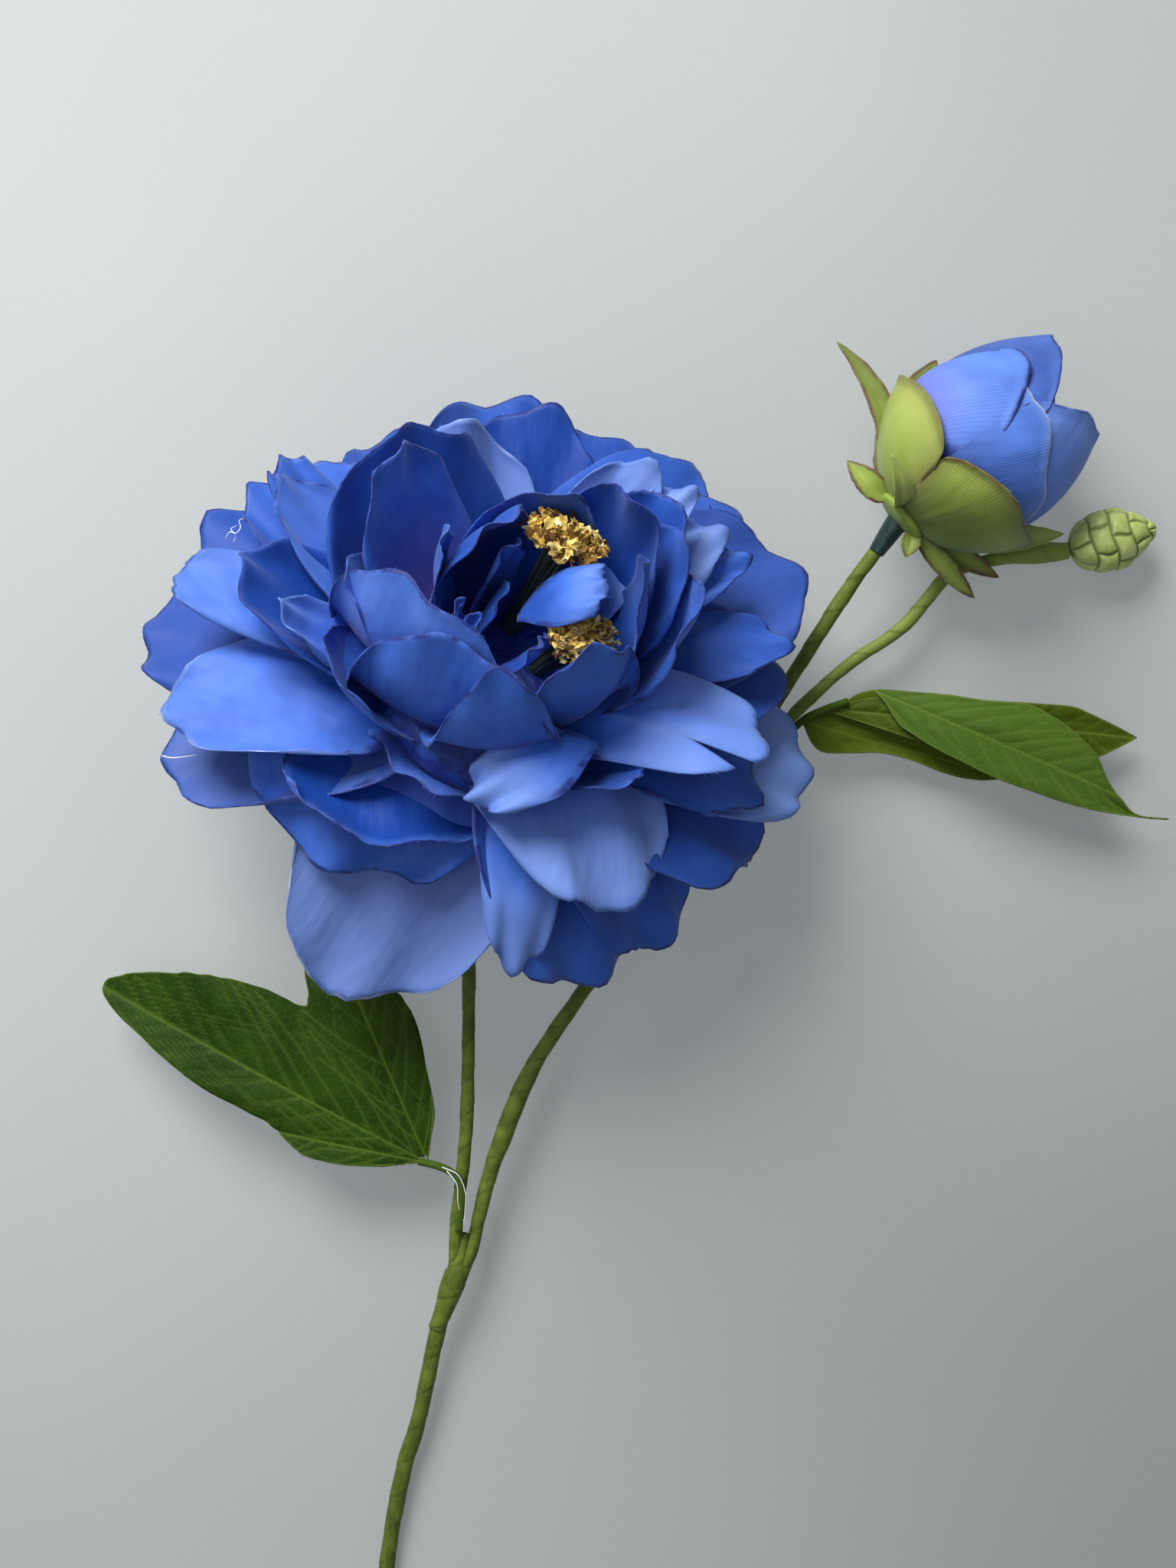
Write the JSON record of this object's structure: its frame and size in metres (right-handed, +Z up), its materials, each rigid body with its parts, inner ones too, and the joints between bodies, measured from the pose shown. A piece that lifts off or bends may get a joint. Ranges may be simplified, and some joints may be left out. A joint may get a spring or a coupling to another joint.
{
  "type": "artificial peony spray",
  "caption": "Blue fabric peony bloom with golden stamens, a half open bud, a small green bud and dark leaves on taped wire stems.",
  "frame": {"origin": "the middle of the spray's box, on the surface that it lies on", "axes": "+Z up from the surface; +Y up the spray, from the cut end of the stem to the flowers; +X to the right as the picture shows it, towards the buds"},
  "size_m": [0.223, 0.4424, 0.0802],
  "materials": {
    "petal_fabric": "woven, matt",
    "bud_fabric": "woven, matt",
    "sepal_fabric": "woven, matt",
    "stem_tape": "waxed tape, satin",
    "wire_steel": "satin",
    "leaf_plastic": "satin",
    "small_bud_plastic": "satin",
    "stalk_plastic": "matt",
    "collar_plastic": "satin",
    "anther_gold": "crumpled, satin"
  },
  "bodies": {
    "root": {"bloom_petals": "petal_fabric", "anthers_upper": "anther_gold", "anthers_lower": "anther_gold", "stamen_stalks_upper": "stalk_plastic", "stamen_stalks_lower": "stalk_plastic", "bloom_calyx": "sepal_fabric", "bud_petals": "bud_fabric", "bud_sepals": "sepal_fabric", "bud_collar": "collar_plastic", "small_bud": "small_bud_plastic", "main_stem": "stem_tape", "stem_wire": "wire_steel", "bloom_branch": "stem_tape", "bud_branch": "stem_tape", "small_bud_branch": "stem_tape", "left_leaf": "leaf_plastic", "right_leaf": "leaf_plastic"}
  },
  "joints": []
}
